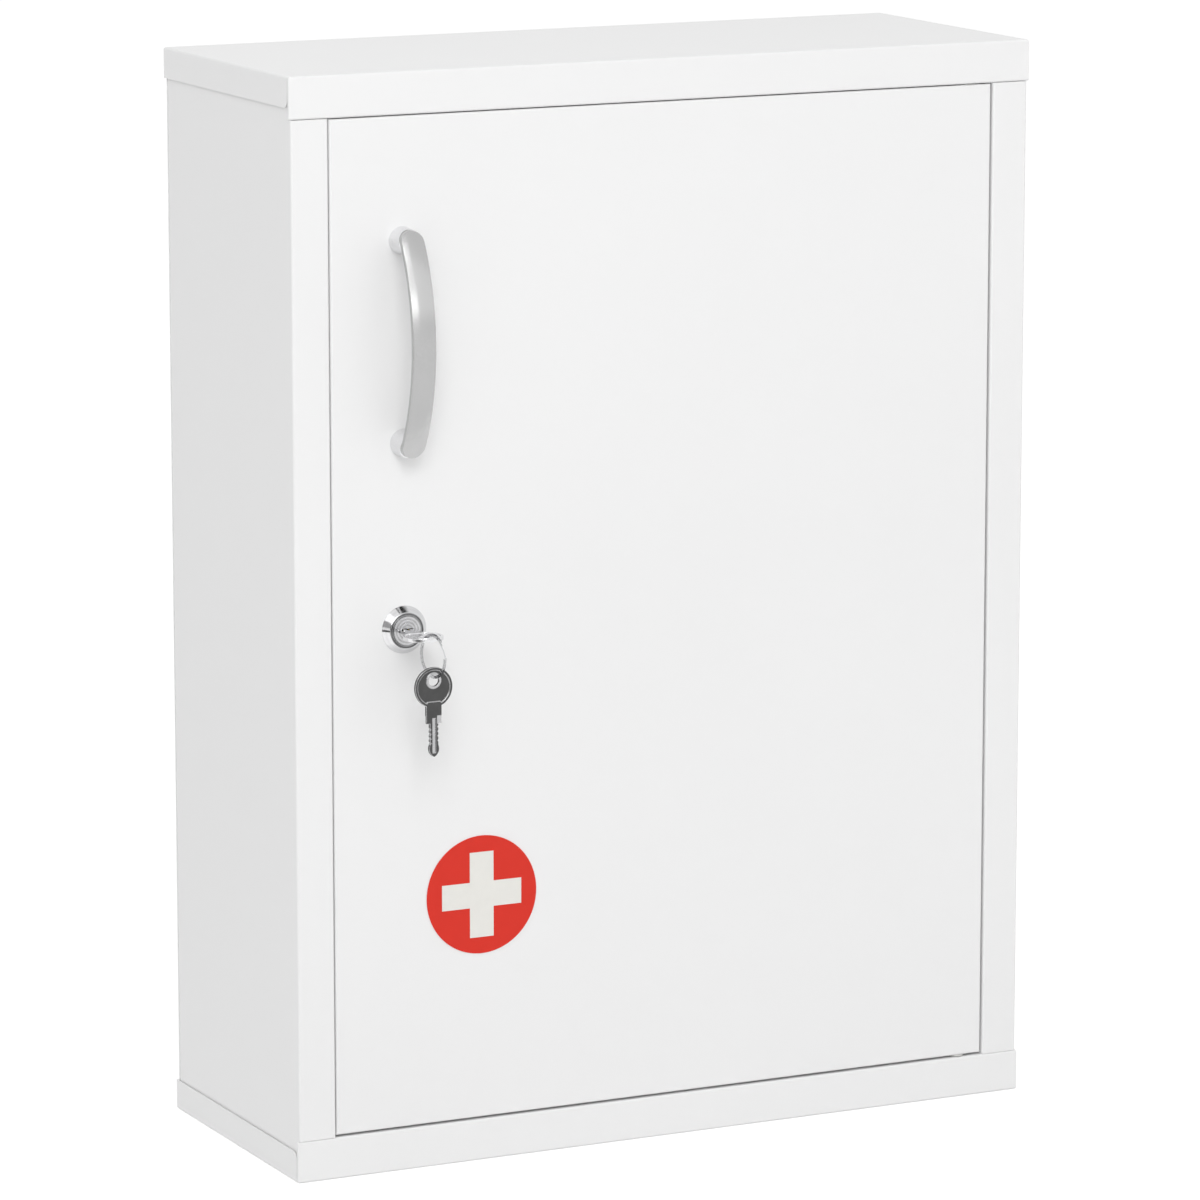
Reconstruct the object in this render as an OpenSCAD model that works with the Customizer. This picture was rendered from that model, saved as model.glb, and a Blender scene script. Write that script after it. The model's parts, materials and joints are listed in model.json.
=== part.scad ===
// Lockable wall-hung medicine cabinet in folded sheet steel.
// Millimetres, X to the right and Y to the back as seen from the front, Z up.
// The origin is the centre of the cabinet's footprint, on the underside of the bottom cap.

/* [Cabinet] */
// Outside width, over the caps
cabinet_width = 394; // [386:1:406]
// Outside depth, front face to rear skirts
cabinet_depth = 152; // [148:1:165]
// Outside height
cabinet_height = 530; // [526:1:540]
// Thickness of every folded sheet
sheet = 0.8; // [0.7:0.05:0.9]
// Outer radius of the folds
fold_radius = 1.2; // [1.1:0.1:1.5]
// Height of the side and rear skirts of the caps
skirt_height = 15; // [13:0.5:17]
// Height of the front rail of each cap
rail_height = 20.4; // [20:0.1:22]
// Width of each front stile, from the outside of the cap
stile_width = 19.9; // [19.5:0.1:21]
// Clearance where one fixed sheet laps or butts another
lap_gap = 0.1; // [0.08:0.01:0.14]
// Open seam between a stile and a cap
seam = 0.3; // [0.25:0.01:0.35]

/* [Door] */
// Gap all round the door
door_gap = 1.2; // [1.15:0.05:1.4]
// Depth of the door pan
door_depth = 16; // [15.5:0.1:16.5]
// Width of the lips behind the door pan
door_lip = 12; // [10:0.5:13]
// Distance of the hinge axis from the hinge edge of the door
hinge_inset = 12; // [11.5:0.1:12.5]
// Distance of the hinge axis behind the front face
hinge_back = 4.5; // [4.4:0.05:4.7]
// Radius of the hinge pins
pin_radius = 2; // [1.8:0.05:2.1]
// Running clearance of the pins in their bushes, on the radius
pin_play = 0.05; // [0.03:0.01:0.08]

/* [Shelves] */
// Distance between the slots of the shelf strips
slot_pitch = 25; // [24:0.5:26]
// Slot that carries the lower shelf, counted from the bottom
lower_slot = 5; // [4:1:7]
// Slot that carries the upper shelf, counted from the bottom
upper_slot = 12; // [10:1:14]
// Depth of the folded edges of a shelf
shelf_edge = 14; // [12:1:16]

/* [Handle] */
// Distance between the two screws of the handle
handle_pitch = 96; // [92:1:100]
// Distance of the middle of the handle below the top of the cabinet
handle_drop = 127.4; // [118:1:136]
// Distance of the handle and lock from the left outside of the cabinet
fittings_inset = 57; // [55:0.5:60]
// Width of the handle strap
strap_width = 11.6; // [11:0.1:12.4]
// Thickness of the handle strap
strap_thickness = 3.2; // [2.8:0.1:3.6]

/* [Lock] */
// Radius of the plug
plug_radius = 7; // [6.8:0.05:7.1]
// Running clearance of the plug in its housing, on the radius
plug_play = 0.05; // [0.03:0.01:0.08]
// Distance from the plug's centre to the tip of the cam
cam_reach = 34; // [33:0.5:36]
// Thickness of a key
key_thickness = 1.7; // [1.6:0.1:1.9]

/* [Sign] */
// Radius of the round sign on the door
sign_radius = 29; // [26:0.5:31]

/* [Hidden] */
$fn = 32;
fold_facets = 16;
// Overrun of every cut past the surface that it starts from
cut = 1;
half_w = cabinet_width / 2;
front_y = -cabinet_depth / 2;
back_y = cabinet_depth / 2;
// Side panels hang inside the skirts of the caps
panel_x = half_w - sheet - lap_gap;
web_x = panel_x - sheet;
stile_x = half_w - stile_width;
rail_top = cabinet_height - rail_height;
// Back panel laps over the rear flanges, inside the rear skirts
back_face = back_y - sheet - lap_gap;
flange_face = back_face - sheet - lap_gap;
flange_width = 18;
stop_depth = door_depth + 2;
hinge_stop_depth = 23;
stop_lip = 10.5;
stile_notch = hinge_stop_depth + 2 * sheet + cut;
rail_return = 24;
rail_lip = 8;
rail_lap = 4;
// Side skirts start behind an open seam at the front corners
corner_seam = 0.6;
skirt_front = front_y + fold_radius + 0.8;
skirt_round = 4;
// Door
door_w = 2 * (stile_x - door_gap);
door_low = rail_height + door_gap;
door_high = rail_top - door_gap;
door_rear = front_y + door_depth;
skin_back = front_y + sheet;
hinge_x = door_w / 2 - hinge_inset;
hinge_y = front_y + hinge_back;
bush_radius = pin_radius + 1;
bush_flange = 4.1;
bush_length = 4.5;
pin_head = 3.4;
pin_head_height = 1.5;
pin_reach = 6;
pin_tail = 0.5;
corner_slit = 0.8;
bumper_radius = 3.5;
bumper_inset = 4.5;
// Hat-section stiffener: half of its crown, its flanges, its depth and the bare ends above and below
stiffener_x = 30;
stiffener_crown = 20;
stiffener_flange = 16;
stiffener_rise = 11;
stiffener_margin = 30;
// Shelf strips
strip_width = 16;
strip_depth = 5;
strip_low = 40;
strip_slots = floor((cabinet_height - 2 * strip_low) / slot_pitch);
strip_height = strip_slots * slot_pitch;
strip_front = front_y + 38;
strip_back = flange_face - 25;
slot_width = 8.4;
slot_height = 3.2;
strip_face = web_x - lap_gap - strip_depth;
// Shelves
shelf_half = strip_face - 1;
shelf_front = front_y + 30;
shelf_back = flange_face - 3.5;
shelf_hem = 10;
shelf_hem_inset = 15;
// Clips, whose tongues are a little smaller than the slots
clip_plate = 1.5;
clip_reach = 9;
clip_width = 12;
clip_drop = 12;
clip_hook = 3;
tongue_play = 0.2;
tongue_width = slot_width - 2 * tongue_play;
tongue_height = slot_height - 2 * tongue_play;
// Wall holes, rivets and the distance of the end rivets and bumpers from the ends
end_margin = 60;
wall_pitch_x = 300;
wall_pitch_z = 400;
wall_hole = 3.5;
rivet_radius = 1.6;
rivet_head = 3;
rivet_head_height = 0.7;
rivet_tail = 0.9;
rivet_play = 0.05;
rivet_x = panel_x - 10;
joggle = 2;
joggle_w = 240;
joggle_h = 340;
// Fittings on the door
handle_height = cabinet_height - handle_drop;
fit_x = fittings_inset - half_w;
lock_z = cabinet_height / 2;
strap_gap = 12.5;
strap_rise = 12.6;
foot_radius = 6.7;
foot_neck = 5.7;
foot_bore = 9.2;
washer_radius = 7;
washer_thickness = 1.2;
screw_radius = 2;
screw_head = 3.8;
screw_head_height = 2.4;
screw_reach = 8.8;
recess_length = 4.4;
recess_width = 0.9;
recess_depth = 1.2;
arc_radius = (pow(handle_pitch / 2, 2) + pow(strap_rise, 2)) / (2 * strap_rise);
arc_centre = front_y - strap_gap - strap_rise + arc_radius;
foot_curve = arc_radius - strap_thickness / 2 - lap_gap;
// Lock, from the front of the plug to the cam
housing_radius = 9;
housing_flat = 8;
bezel_radius = 11.6;
bezel_face = 8.7;
bezel_front = front_y - 3.6;
groove_inner = 7.7;
groove_outer = 8.2;
groove_depth = 0.8;
plug_front = front_y - 4;
cam_thickness = 2;
cam_front = front_y + stop_depth + sheet + 0.4;
housing_rear = cam_front - 0.3;
cam_hub = 8;
tang = 8;
tang_play = 0.06;
nut_flats = 22;
nut_thickness = 4;
cam_tip = 6;
cam_screw_head = 5.8;
cam_screw_head_height = 2;
cam_screw_reach = 1.8;
// Keys, measured from the hole in the bow
bow_radius = 9.65;
bow_offset = 3.3;
key_hole = 2.7;
bow_ring = 3.8;
bow_rim = 1.3;
bow_recess = 0.4;
shoulder_width = 8;
shoulder_start = 10.1;
shoulder_end = 20.6;
blade_width = 4.4;
blade_end = 36.7;
tip_width = 5.2;
tip_length = 8;
blade_groove = 1.6;
groove_start = shoulder_end - 2.5;
groove_length = blade_end - tip_length / 4 - groove_start;
groove_extra = 0.1;
blade_cuts = 4;
cut_pitch = 2.2;
cut_stagger = 0.6;
bitting = 0.5;
pad_chamfer = 1;
step_width = 2.3;
step_length = 3.6;
step_depth = 0.5;
key_play = 0.2;
key_y = plug_front - 2 * key_play - shoulder_end;
keyway_width = tip_width + 2 * key_play;
keyway_height = key_thickness + 2 * key_play;
// Wafers in the plug, one at each cut of the key
wafer_width = 12.4;
wafer_height = 5.2;
wafer_thickness = 0.6;
wafer_play = 0.08;
// Ring hanging through the hole of the key in the lock
ring_radius = 10;
wire_radius = 0.75;
ring_turn = -81.4;
ring_shift = [0.89, -6.14, -7.39];
ring_centre = [fit_x, key_y, lock_z] + ring_shift;
spare_gap = 0.3;
spare_drop = key_hole - wire_radius - spare_gap;
spare_turn = -8;
// Sign
sign_x = fit_x + 40;
sign_z = 132;
sign_thickness = 0.4;
cross_size = 42;
cross_arm = 12.6;

// ---- helpers ----

function unit(v) = v / norm(v);

// Sheet of one thickness that follows square corners, round on the outside of each fold
module folded(points) {
    half = sheet / 2;
    last = len(points) - 1;
    difference() {
        for (i = [0 : last - 1]) {
            dir = unit(points[i + 1] - points[i]);
            side = [-dir[1], dir[0]] * half;
            start = points[i] - (i == 0 ? 0 : half) * dir;
            stop = points[i + 1] + (i == last - 1 ? 0 : half) * dir;
            polygon([start - side, start + side, stop + side, stop - side]);
        }
        for (i = [1 : last - 1]) {
            along = unit(points[i] - points[i - 1]);
            away = unit(points[i + 1] - points[i]);
            centre = points[i] - (fold_radius - half) * (along - away);
            reach = fold_radius + 0.3;
            difference() {
                polygon([centre, centre + reach * along, centre + reach * (along - away),
                    centre - reach * away]);
                translate(centre) circle(r = fold_radius, $fn = fold_facets);
            }
        }
    }
}

// Flat outline of width w and depth d whose front corners are round
module soft_front(w, d) {
    r = fold_radius;
    translate([-w / 2, r]) square([w, d - r]);
    translate([r - w / 2, 0]) square([w - 2 * r, d]);
    for (s = [-1, 1]) {
        translate([s * (w / 2 - r), r]) circle(r = r, $fn = fold_facets);
    }
}

// Solid block on the XZ plane, w wide, h high and d deep, with its front edges round
module soft_block(w, h, d) {
    intersection() {
        linear_extrude(height = h, center = true) soft_front(w, d);
        rotate([0, 90, 0]) linear_extrude(height = w, center = true) soft_front(h, d);
    }
}

// Cylinder along +Y that starts at the origin
module rod(r, length, sides = 32) {
    rotate([-90, 0, 0]) cylinder(r = r, h = length, $fn = sides);
}

// Cylinder along +Y with two flats, so that it can't turn in a hole of the same form
module flatted_rod(r, flat, length) {
    intersection() {
        rod(r, length);
        translate([-r, 0, -flat]) cube([2 * r, length, 2 * flat]);
    }
}

// ---- caps ----

// Cap drawn with its flat top at z = 0 and its skirts hanging down
module cap_shell() {
    inner = half_w - sheet;
    difference() {
        translate([0, 0, -rail_height]) cap_block();
        translate([-inner, skin_back, -rail_height - cut])
            cube([2 * inner, cabinet_depth - 2 * sheet, rail_height + cut - sheet]);
        translate([-half_w - cut, skirt_front - corner_seam / 2, -rail_height - cut])
            cube([cabinet_width + 2 * cut, cabinet_depth, rail_height + cut - skirt_height]);
        for (s = [-1, 1]) {
            skirt_corner(s);
        }
    }
    rail_channel();
}

// Outside of a cap, rounded along its top edges, its lower front edge and its front corners
module cap_block() {
    r = fold_radius;
    intersection() {
        translate([0, cabinet_depth / 2, 0]) rotate([90, 0, 0]) linear_extrude(height = cabinet_depth) {
            translate([-half_w, 0]) square([cabinet_width, rail_height - r]);
            translate([r - half_w, 0]) square([cabinet_width - 2 * r, rail_height]);
            for (s = [-1, 1]) {
                translate([s * (half_w - r), rail_height - r]) circle(r = r, $fn = fold_facets);
            }
        }
        rotate([90, 0, 90]) linear_extrude(height = cabinet_width, center = true) {
            translate([front_y, r]) square([cabinet_depth, rail_height - 2 * r]);
            translate([front_y + r, 0]) square([cabinet_depth - 2 * r, rail_height]);
            for (y = [front_y + r, back_y - r], z = [r, rail_height - r]) {
                translate([y, z]) circle(r = r, $fn = fold_facets);
            }
        }
    }
}

// Open corner seam and rounded lower corner of a side skirt
module skirt_corner(s) {
    x = s > 0 ? half_w - 2 * sheet : -half_w - sheet;
    r = skirt_round;
    translate([x, skirt_front - corner_seam, -rail_height - cut])
        cube([3 * sheet, corner_seam, rail_height + cut - fold_radius - sheet]);
    difference() {
        translate([x, skirt_front - lap_gap, -skirt_height - cut]) cube([3 * sheet, r + lap_gap, r + cut]);
        translate([x - cut, skirt_front + r, r - skirt_height]) rotate([0, 90, 0])
            cylinder(r = r, h = 3 * sheet + 2 * cut);
    }
}

// Return and stiffening lip behind the front rail, with the hole for the hinge pin
module rail_channel() {
    reach = web_x - seam;
    z = sheet / 2 - rail_height;
    difference() {
        rotate([90, 0, 90]) linear_extrude(height = 2 * reach, center = true)
            folded([[front_y + sheet / 2, z + rail_lap], [front_y + sheet / 2, z],
                [front_y + rail_return, z], [front_y + rail_return, z + rail_lip]]);
        translate([hinge_x, hinge_y, -rail_height - cut])
            cylinder(r = pin_radius + pin_play, h = sheet + 2 * cut);
    }
}

module top_cap() {
    color("white") translate([0, 0, cabinet_height]) cap_shell();
}

module bottom_cap() {
    color("white") mirror([0, 0, 1]) cap_shell();
}

// ---- side and back panels ----

// Left panel, whose stile folds back and then inwards as a door stop
module side_shell(stop) {
    low = sheet + lap_gap;
    notch = rail_height + seam;
    half = sheet / 2;
    difference() {
        translate([0, 0, low]) linear_extrude(height = cabinet_height - 2 * low)
            folded([[stop_lip - stile_x, front_y + stop + half], [-stile_x - half, front_y + stop + half],
                [-stile_x - half, front_y + half], [half - panel_x, front_y + half],
                [half - panel_x, flange_face - half], [flange_width - panel_x, flange_face - half]]);
        for (z = [-cut, cabinet_height - notch]) {
            translate([-half_w - cut, front_y - cut, z]) cube([half_w, cut + sheet + seam, notch + cut]);
            translate([-web_x, front_y - cut, z]) cube([half_w, cut + stile_notch, notch + cut]);
        }
        for (z = rivet_levels()) {
            translate([-rivet_x, flange_face - sheet - cut, z])
                rod(rivet_radius + rivet_play, sheet + 2 * cut, 12);
        }
    }
}

function rivet_levels() = [for (k = [0 : 3]) end_margin + k * (cabinet_height - 2 * end_margin) / 3];

module left_side_panel() {
    color("white") side_shell(stop_depth);
}

module right_side_panel() {
    color("white") mirror([1, 0, 0]) side_shell(hinge_stop_depth);
}

module back_panel() {
    low = sheet + lap_gap;
    height = cabinet_height - 2 * low;
    wide = 2 * (panel_x - lap_gap);
    mid = cabinet_height / 2;
    color("white") difference() {
        union() {
            translate([-wide / 2, back_face - sheet, low]) cube([wide, sheet, height]);
            translate([-joggle_w / 2, back_face - sheet - joggle, mid - joggle_h / 2])
                cube([joggle_w, sheet + joggle, joggle_h]);
        }
        translate([sheet - joggle_w / 2, back_face - joggle, mid - joggle_h / 2 + sheet])
            cube([joggle_w - 2 * sheet, joggle + cut, joggle_h - 2 * sheet]);
        for (x = [-wall_pitch_x / 2, wall_pitch_x / 2], z = [-wall_pitch_z / 2, wall_pitch_z / 2]) {
            translate([x, back_face - sheet - cut, mid + z]) rod(wall_hole, sheet + 2 * cut, 24);
        }
        for (s = [-1, 1], z = rivet_levels()) {
            translate([s * rivet_x, back_face - sheet - cut, z])
                rod(rivet_radius + rivet_play, sheet + 2 * cut, 12);
        }
    }
}

module back_rivets() {
    color("silver") for (s = [-1, 1], z = rivet_levels()) {
        translate([s * rivet_x, 0, z]) {
            translate([0, flange_face - sheet - rivet_tail, 0])
                rod(rivet_radius, back_face - flange_face + sheet + rivet_tail + lap_gap, 12);
            translate([0, back_face, 0]) rod(rivet_head, rivet_head_height, 16);
        }
    }
}

// ---- shelves ----

module shelf_strips() {
    half = sheet / 2;
    color("white") for (s = [-1, 1], y = [strip_front, strip_back]) {
        difference() {
            translate([0, 0, strip_low]) linear_extrude(height = strip_height)
                folded([[s * (web_x - lap_gap), y - strip_width / 2 + half],
                    [s * (strip_face + half), y - strip_width / 2 + half],
                    [s * (strip_face + half), y + strip_width / 2 - half],
                    [s * (web_x - lap_gap), y + strip_width / 2 - half]]);
            for (k = [0 : strip_slots - 1]) {
                translate([s * strip_face, y, slot_level(k + 1)])
                    cube([2 * (sheet + cut), slot_width, slot_height], center = true);
            }
        }
    }
}

function slot_level(k) = strip_low + (k - 0.5) * slot_pitch;

// Clips hooked into the strips, with a ledge on which the shelf edge rests
module shelf_clips() {
    ledge = tongue_height / 2;
    color("silver") for (s = [-1, 1], y = [strip_front, strip_back], k = [lower_slot, upper_slot]) {
        z = slot_level(k);
        flip = s > 0 ? 0 : 180;
        translate([s * (strip_face - lap_gap), y, z]) rotate([0, 0, flip]) {
            translate([-clip_reach, -clip_width / 2, ledge - clip_plate])
                cube([clip_reach, clip_width, clip_plate]);
            translate([-clip_plate, -clip_width / 2, ledge - clip_drop])
                cube([clip_plate, clip_width, clip_drop]);
            translate([-clip_plate / 2, -tongue_width / 2, -tongue_height / 2])
                cube([clip_plate / 2 + clip_hook, tongue_width, tongue_height]);
        }
    }
}

// Shelf tray with its folded edges down; z is the level of their lower edge
module shelf_tray(z) {
    deep = shelf_back - shelf_front;
    top = z + shelf_edge;
    color("white") {
        difference() {
            translate([0, (shelf_front + shelf_back) / 2, top]) rotate([-90, 0, 0])
                soft_block(2 * shelf_half, deep, shelf_edge);
            translate([sheet - shelf_half, shelf_front + sheet, z - cut])
                cube([2 * (shelf_half - sheet), deep - 2 * sheet, shelf_edge + cut - sheet]);
        }
        translate([shelf_hem_inset - shelf_half, shelf_front + sheet / 2, z])
            cube([2 * (shelf_half - shelf_hem_inset), shelf_hem, sheet]);
    }
}

module upper_shelf() {
    shelf_tray(slot_level(upper_slot) + tongue_height / 2);
}

module lower_shelf() {
    shelf_tray(slot_level(lower_slot) + tongue_height / 2);
}

// ---- door ----

module door_bumpers() {
    thick = stop_depth - door_depth - seam;
    color("dimgray") for (z = [end_margin, lock_z, cabinet_height - end_margin]) {
        translate([bumper_inset - stile_x, front_y + stop_depth - thick, z]) rod(bumper_radius, thick, 24);
    }
}

// Hinge pin drawn for the top of the door, head up, z = 0 on the underside of the rail
module hinge_pin() {
    translate([hinge_x, hinge_y, 0]) {
        translate([0, 0, sheet]) cylinder(r = pin_head, h = pin_head_height);
        translate([0, 0, -door_gap - pin_reach])
            cylinder(r = pin_radius, h = door_gap + pin_reach + sheet + pin_tail);
    }
}

module upper_hinge_pin() {
    color("silver") translate([0, 0, rail_top]) hinge_pin();
}

module lower_hinge_pin() {
    color("silver") translate([0, 0, rail_height]) mirror([0, 0, 1]) hinge_pin();
}

// Flanged bush drawn for the top of the door, z = 0 on the top edge of the door
module hinge_bush() {
    flange = door_gap - seam;
    translate([hinge_x, hinge_y, 0]) difference() {
        union() {
            cylinder(r = bush_flange, h = flange);
            translate([0, 0, -bush_length]) cylinder(r = bush_radius, h = bush_length + flange / 2);
        }
        translate([0, 0, -bush_length - cut])
            cylinder(r = pin_radius + pin_play, h = bush_length + flange + 2 * cut);
    }
}

module upper_hinge_bush() {
    color("ivory") translate([0, 0, door_high]) hinge_bush();
}

module lower_hinge_bush() {
    color("ivory") translate([0, 0, door_low]) mirror([0, 0, 1]) hinge_bush();
}

// Door pan with four returns and rear lips, slit at the corners
module door_panel() {
    tall = door_high - door_low;
    mid = (door_high + door_low) / 2;
    color("white") difference() {
        translate([0, front_y, mid]) soft_block(door_w, tall, door_depth);
        translate([sheet - door_w / 2, skin_back, door_low + sheet])
            cube([door_w - 2 * sheet, door_depth - 2 * sheet, tall - 2 * sheet]);
        translate([door_lip - door_w / 2, skin_back, door_low + door_lip])
            cube([door_w - 2 * door_lip, door_depth, tall - 2 * door_lip]);
        for (s = [-1, 1], t = [-1, 1]) {
            translate([s * (door_w / 2 - door_lip / 2) - door_lip, door_rear - sheet - cut,
                mid + t * (tall / 2 - sheet - corner_slit / 2) - corner_slit / 2])
                cube([2 * door_lip, sheet + 2 * cut, corner_slit]);
        }
        for (z = [-handle_pitch / 2, handle_pitch / 2]) {
            translate([fit_x, front_y - cut, handle_height + z])
                rod(screw_radius + 2 * lap_gap, sheet + 2 * cut, 24);
        }
        translate([fit_x, front_y - cut, lock_z])
            flatted_rod(housing_radius + lap_gap, housing_flat + lap_gap, sheet + 2 * cut);
        for (z = [door_low - cut, door_high - sheet - cut]) {
            translate([hinge_x, hinge_y, z]) cylinder(r = bush_radius + lap_gap / 4, h = sheet + 2 * cut);
        }
    }
}

// Hat-section stiffener welded down the inside of the door skin
module door_stiffener() {
    near = skin_back + sheet / 2;
    far = near + stiffener_rise;
    out = stiffener_crown + stiffener_flange;
    tall = door_high - door_low - 2 * stiffener_margin;
    color("white") translate([stiffener_x, 0, door_low + stiffener_margin]) linear_extrude(height = tall)
        folded([[-out, near], [-stiffener_crown, near], [-stiffener_crown, far], [stiffener_crown, far],
            [stiffener_crown, near], [out, near]]);
}

// ---- handle ----

// Bowed strap with round ends
module handle_strap() {
    color("silver") intersection() {
        translate([fit_x, arc_centre, handle_height]) rotate([0, 90, 0]) difference() {
            cylinder(r = arc_radius + strap_thickness / 2, h = strap_width, center = true, $fn = 160);
            cylinder(r = arc_radius - strap_thickness / 2, h = strap_width + cut, center = true, $fn = 160);
        }
        translate([fit_x, front_y - 2 * strap_rise - strap_gap, handle_height]) {
            translate([-strap_width / 2, 0, -handle_pitch / 2])
                cube([strap_width, 2 * strap_rise + strap_gap, handle_pitch]);
            for (z = [-handle_pitch / 2, handle_pitch / 2]) {
                translate([0, 0, z]) rod(strap_width / 2, 2 * strap_rise + strap_gap);
            }
        }
    }
}

// Turned feet that hold the strap off the door, cut to the curve of the strap and tapped from the back
module handle_feet() {
    color("silver") for (z = [-handle_pitch / 2, handle_pitch / 2]) {
        difference() {
            intersection() {
                translate([fit_x, front_y, handle_height + z]) rotate([90, 0, 0])
                    cylinder(r1 = foot_radius, r2 = foot_neck, h = strap_gap + strap_thickness);
                translate([fit_x, arc_centre, handle_height]) rotate([0, 90, 0])
                    cylinder(r = foot_curve, h = 3 * foot_radius, center = true, $fn = 160);
            }
            translate([fit_x, front_y - foot_bore, handle_height + z])
                rod(screw_radius + lap_gap, foot_bore + cut, 24);
        }
    }
}

// Pan-head screws driven from inside the door into the feet
module handle_screws() {
    head = skin_back + washer_thickness;
    color("silver") for (z = [-handle_pitch / 2, handle_pitch / 2]) {
        translate([fit_x, 0, handle_height + z]) difference() {
            union() {
                translate([0, front_y - screw_reach, 0])
                    rod(screw_radius, screw_reach + head + cut - front_y, 24);
                translate([0, head, 0]) rod(screw_head, screw_head_height, 24);
            }
            for (turn = [0, 90]) {
                translate([0, head + screw_head_height - recess_depth, 0]) rotate([0, turn, 0])
                    translate([-recess_length / 2, 0, -recess_width / 2])
                        cube([recess_length, recess_depth + cut, recess_width]);
            }
        }
    }
}

module handle_washers() {
    color("silver") for (z = [-handle_pitch / 2, handle_pitch / 2]) {
        translate([fit_x, skin_back, handle_height + z]) difference() {
            rod(washer_radius, washer_thickness, 24);
            translate([0, -cut, 0]) rod(screw_radius + lap_gap, washer_thickness + 2 * cut, 24);
        }
    }
}

// ---- sign ----

module sign_cross_outline() {
    square([cross_size, cross_arm], center = true);
    square([cross_arm, cross_size], center = true);
}

module sign_disc() {
    color("red") translate([sign_x, front_y, sign_z]) rotate([90, 0, 0])
        linear_extrude(height = sign_thickness) difference() {
            circle(r = sign_radius, $fn = 80);
            sign_cross_outline();
        }
}

module sign_cross() {
    color("ivory") translate([sign_x, front_y, sign_z]) rotate([90, 0, 0])
        linear_extrude(height = sign_thickness) sign_cross_outline();
}

// ---- lock ----

// Threaded housing with a conical bezel and a turned groove round the plug
module lock_housing() {
    color("silver") translate([fit_x, 0, lock_z]) difference() {
        union() {
            translate([0, front_y, 0]) rotate([90, 0, 0])
                cylinder(r1 = bezel_radius, r2 = bezel_face, h = front_y - bezel_front, $fn = 48);
            translate([0, front_y - cut, 0]) flatted_rod(housing_radius, housing_flat,
                housing_rear - front_y + cut);
        }
        translate([0, bezel_front - cut, 0]) {
            rod(plug_radius + plug_play, housing_rear - bezel_front + 2 * cut);
            difference() {
                rod(groove_outer, cut + groove_depth);
                rod(groove_inner, cut + groove_depth);
            }
        }
    }
}

module lock_nut() {
    color("silver") translate([fit_x, skin_back + lap_gap, lock_z]) difference() {
        rod(nut_flats / 2 / cos(30), nut_thickness, 6);
        translate([0, -cut, 0]) rod(housing_radius + lap_gap / 2, nut_thickness + 2 * cut);
    }
}

module lock_plug() {
    color("silver") translate([fit_x, 0, lock_z]) difference() {
        union() {
            translate([0, plug_front, 0]) rod(plug_radius, cam_front - lap_gap - plug_front);
            translate([-tang / 2, cam_front - cut, -tang / 2]) cube([tang, cut + cam_thickness, tang]);
        }
        translate([-keyway_width / 2, plug_front - cut, -keyway_height / 2])
            cube([keyway_width, blade_end - shoulder_end + 2 * cut, keyway_height]);
        translate([0, cam_front - cam_screw_reach - key_play, 0])
            rod(screw_radius + lap_gap, cam_screw_reach + key_play + cam_thickness + cut, 24);
        for (y = wafer_levels()) {
            translate([0, y, 0]) cube([2 * plug_radius + cut, wafer_thickness + 2 * wafer_play,
                wafer_height + 2 * wafer_play], center = true);
        }
    }
}

function wafer_levels() = [for (k = [1 : blade_cuts]) key_y + shoulder_end + k * cut_pitch];

// Wafers that slide across the plug, held level with it while the key is in
module lock_wafers() {
    color("gold") translate([fit_x, 0, lock_z]) for (y = wafer_levels()) {
        translate([0, y, 0]) difference() {
            cube([wafer_width, wafer_thickness, wafer_height], center = true);
            cube([keyway_width, wafer_thickness + cut, keyway_height], center = true);
        }
    }
}

// Cam plate, pointing down while the door is unlocked
module lock_cam() {
    color("silver") translate([fit_x, cam_front, lock_z]) difference() {
        union() {
            rod(cam_hub, cam_thickness);
            translate([-cam_tip, 0, cam_tip - cam_reach])
                cube([2 * cam_tip, cam_thickness, cam_reach - cam_tip]);
            translate([0, 0, cam_tip - cam_reach]) rod(cam_tip, cam_thickness);
        }
        translate([-tang / 2 - tang_play, -cut, -tang / 2 - tang_play])
            cube([tang + 2 * tang_play, cam_thickness + 2 * cut, tang + 2 * tang_play]);
    }
}

module cam_screw() {
    color("silver") translate([fit_x, 0, lock_z]) {
        translate([0, cam_front + cam_thickness + lap_gap / 2, 0])
            rod(cam_screw_head, cam_screw_head_height);
        translate([0, cam_front - cam_screw_reach, 0])
            rod(screw_radius, cam_screw_reach + cam_thickness + cam_screw_head_height / 2, 24);
    }
}

// ---- keys ----

// Pointed oval at the end of the blade, made of two arcs
module key_tip() {
    half = tip_width / 2;
    r = (pow(tip_length / 2, 2) + half * half) / tip_width;
    translate([0, blade_end - tip_length / 2]) intersection() {
        translate([r - half, 0]) circle(r = r);
        translate([half - r, 0]) circle(r = r);
    }
}

// Outline of the key: bow, shoulder, blade with its cuts on both edges, and tip
module key_outline() {
    difference() {
        union() {
            translate([0, bow_offset]) circle(r = bow_radius, $fn = 36);
            translate([-shoulder_width / 2, bow_offset]) square([shoulder_width, shoulder_end - bow_offset]);
            translate([-blade_width / 2, bow_offset])
                square([blade_width, blade_end - tip_length / 2 - bow_offset]);
            key_tip();
        }
        circle(r = key_hole, $fn = 24);
        for (s = [-1, 1], k = [1 : blade_cuts]) {
            translate([s * (blade_width / 2 + bitting), shoulder_end + cut_pitch * k + cut_stagger * s])
                rotate(45) square(2 * bitting * sqrt(2), center = true);
        }
    }
}

// Raised pad on the neck of the key, chamfered at its end in the bow
module pad_outline(half) {
    chamfer = pad_chamfer;
    polygon([[-half, 2 * shoulder_start], [-half, shoulder_start + chamfer],
        [chamfer - half, shoulder_start], [half - chamfer, shoulder_start],
        [half, shoulder_start + chamfer], [half, 2 * shoulder_start]]);
}

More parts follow.
